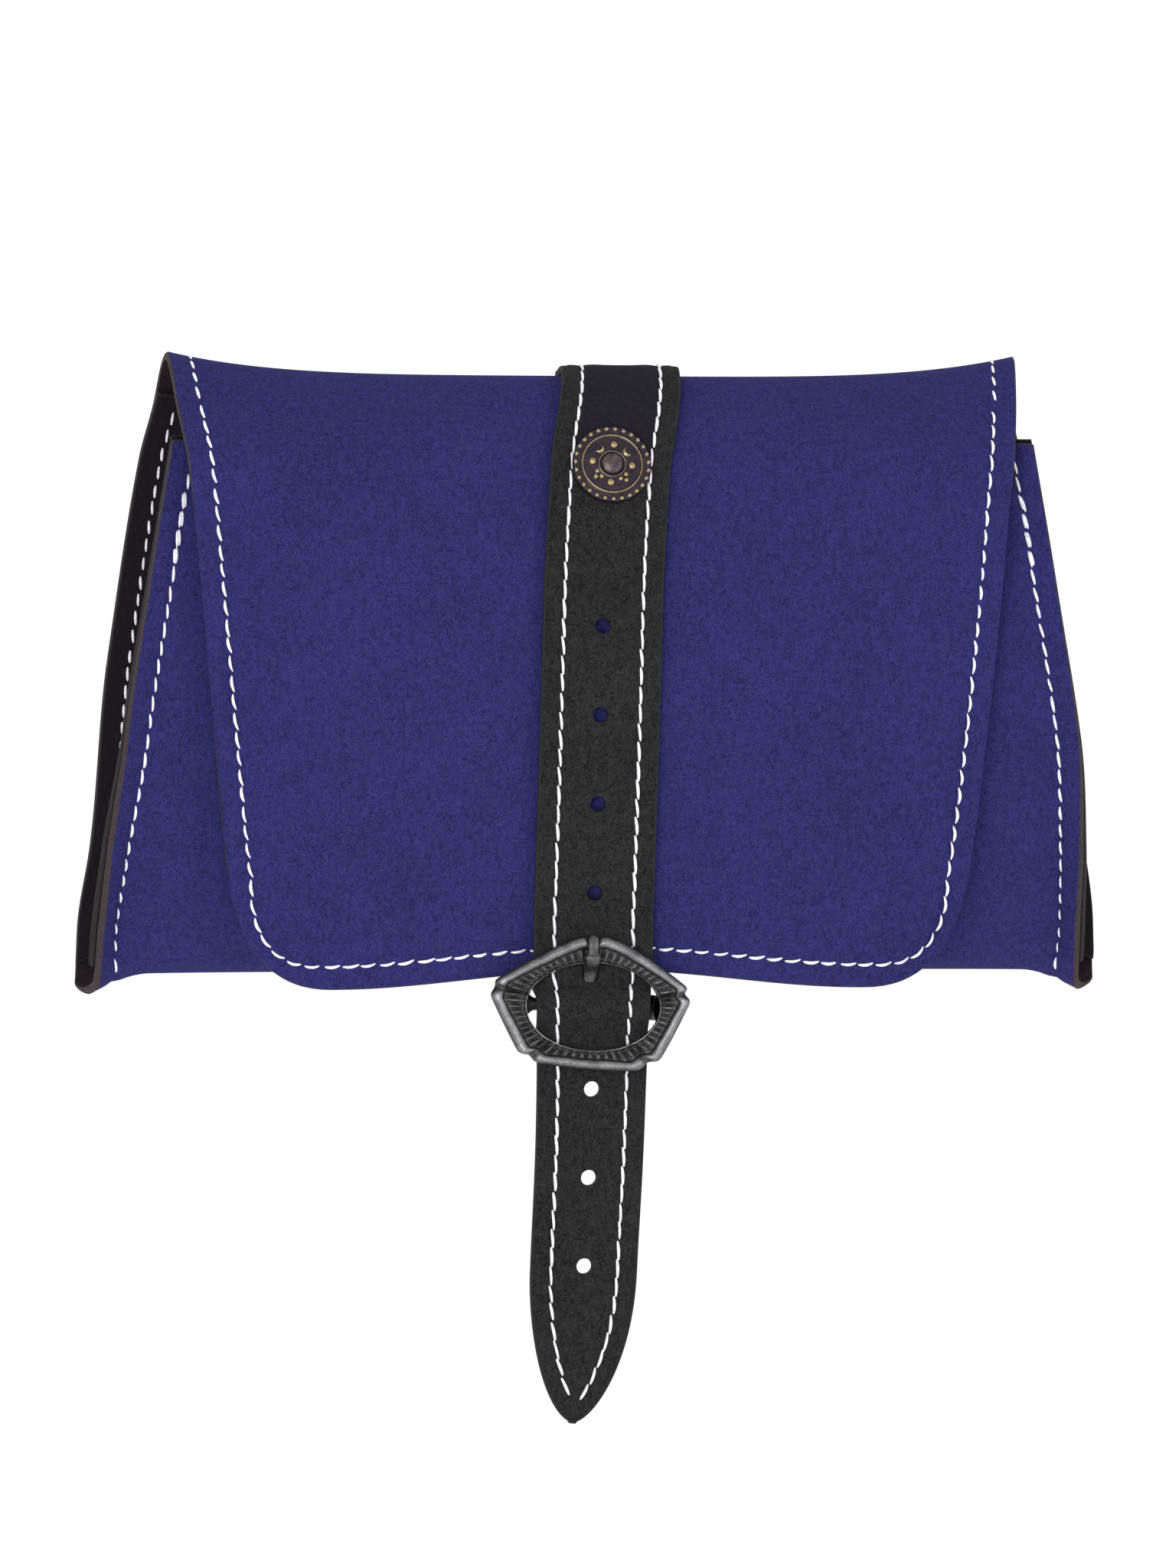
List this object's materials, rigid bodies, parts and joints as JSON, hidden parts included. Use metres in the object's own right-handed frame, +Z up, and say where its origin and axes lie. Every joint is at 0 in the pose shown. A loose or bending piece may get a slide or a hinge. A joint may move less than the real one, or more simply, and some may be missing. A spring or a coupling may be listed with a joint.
{
  "type": "belt pouch",
  "caption": "Closed suede belt pouch: full front flap, gussets with outward seams, and a strap over the flap to a cast five-sided buckle, with a belt loop behind.",
  "frame": {"origin": "middle of the belt tunnel between the back panel and the strap, on the pouch's middle plane", "axes": "+Z up as the pouch hangs, -Y the front with the flap, +X to the right of someone facing the front"},
  "size_m": [0.2624, 0.0619, 0.2687],
  "materials": {
    "body_suede": "blue-violet suede with a short nap",
    "gusset_leather": "black suede",
    "strap_suede": "charcoal suede with a short nap",
    "buckle_metal": "cast zinc alloy with a dark antique pewter finish, bright where it is worn",
    "concho_brass": "antique brass, dark in the recesses"
  },
  "bodies": {
    "root": {"body": "body_suede", "gusset_left": "gusset_leather", "gusset_right": "gusset_leather", "strap": "strap_suede", "buckle_chape": "strap_suede", "buckle_frame": "buckle_metal", "buckle_tongue": "buckle_metal", "concho": "concho_brass", "rivet_cap": "concho_brass"}
  },
  "joints": []
}
